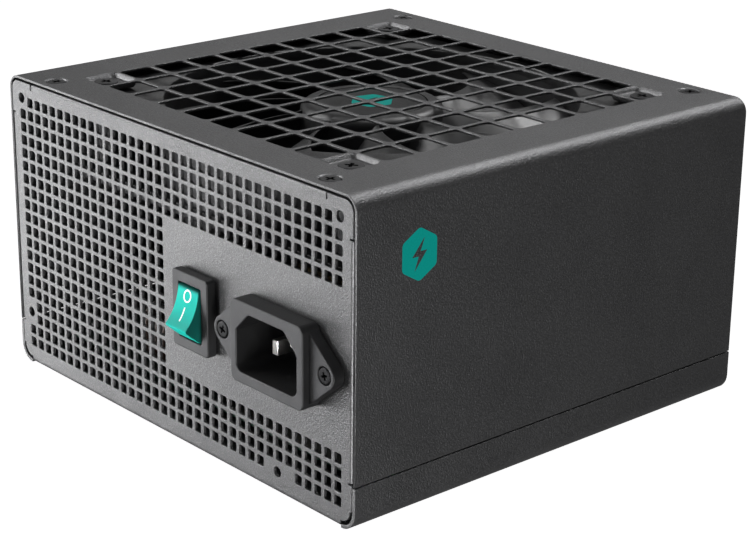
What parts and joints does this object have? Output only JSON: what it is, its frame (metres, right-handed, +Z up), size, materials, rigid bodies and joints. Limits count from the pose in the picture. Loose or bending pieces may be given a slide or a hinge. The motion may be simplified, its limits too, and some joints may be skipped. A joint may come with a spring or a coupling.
{
  "type": "computer power supply unit",
  "caption": "Boxed steel desktop power supply with a square-cell fan grille on top and a perforated rear panel that holds a rocker switch and a mains inlet.",
  "frame": {"origin": "centre of the case's bottom face, on the surface it stands on", "axes": "+Z up out of the fan grille; -Y out of the rear panel with the switch and the mains inlet; +X to the right seen from the rear"},
  "size_m": [0.15, 0.1478, 0.086],
  "materials": {
    "coated_steel": "matte",
    "black_plastic": "satin",
    "fan_plastic": "satin",
    "teal_plastic": "gloss",
    "black_screw": "satin",
    "bare_steel": "satin",
    "nickel": "polished",
    "bronze": "satin",
    "aluminium": "satin",
    "circuit_board": "satin",
    "insulation": "satin",
    "capacitor_sleeve": "gloss",
    "ferrite": "matte",
    "copper_winding": "satin",
    "yellow_film": "satin",
    "hub_label": "satin",
    "wire_brown": "satin",
    "wire_blue": "satin",
    "wire_green": "satin"
  },
  "bodies": {
    "case": {"base_shell": "coated_steel", "rear_panel": "coated_steel", "front_panel": "coated_steel", "top_cover": "coated_steel", "cover_right_side": "coated_steel", "cover_left_side": "coated_steel", "inlet_housing": "black_plastic", "switch_housing": "black_plastic", "motherboard_socket": "black_plastic", "processor_socket_1": "black_plastic", "processor_socket_2": "black_plastic", "graphics_socket": "black_plastic", "drive_socket_1": "black_plastic", "drive_socket_2": "black_plastic", "fan_frame": "fan_plastic", "fan_motor_seat": "fan_plastic", "cover_screw_1": "black_screw", "cover_screw_2": "black_screw", "cover_screw_3": "black_screw", "cover_screw_4": "black_screw", "fan_screw_1": "black_screw", "fan_screw_2": "black_screw", "fan_screw_3": "black_screw", "fan_screw_4": "black_screw", "inlet_screw_1": "black_screw", "inlet_screw_2": "black_screw", "inlet_earth_pin": "nickel", "inlet_line_pin": "nickel", "inlet_neutral_pin": "nickel", "switch_line_terminal": "nickel", "switch_load_terminal": "nickel", "fan_bearing": "bronze", "primary_heatsink": "aluminium", "secondary_heatsink": "aluminium", "main_board": "circuit_board", "socket_board": "circuit_board", "fan_circuit_board": "circuit_board", "insulation_sheet": "insulation", "bulk_capacitor": "capacitor_sleeve", "output_capacitor": "capacitor_sleeve", "main_transformer": "ferrite", "standby_transformer": "ferrite", "pfc_inductor": "ferrite", "bridge_rectifier": "ferrite", "common_mode_choke": "copper_winding", "output_inductor": "copper_winding", "fan_stator": "copper_winding", "x_capacitor": "yellow_film", "line_wire": "wire_brown", "switched_wire": "wire_brown", "neutral_wire": "wire_blue", "earth_wire": "wire_green"},
    "fan_rotor": {"fan_impeller": "fan_plastic", "fan_yoke_ring": "bare_steel", "fan_magnet_ring": "ferrite", "fan_shaft": "bare_steel", "fan_hub_label": "hub_label"},
    "rocker": {"switch_rocker": "teal_plastic"},
    "contact_see_saw": {"switch_contact_bar": "nickel"}
  },
  "joints": [
    {"name": "fan_spin", "type": "hinge", "parent": "case", "child": "fan_rotor", "pos_m": [0, 0, 0.07], "axis": [0, 0, 1], "continuous": true},
    {"name": "rocker_tip", "type": "hinge", "parent": "case", "child": "rocker", "pos_m": [0.0133, -0.0713, 0.0404], "axis": [1, 0, 0], "range_deg": [0, 28]},
    {"name": "contact_tip", "type": "hinge", "parent": "case", "child": "contact_see_saw", "pos_m": [0.0133, -0.0624, 0.0404], "axis": [1, 0, 0], "range_deg": [-16.8, 0]}
  ],
  "couplings": [
    {"joint": "contact_tip", "follows": "rocker_tip", "ratio": -0.6}
  ]
}
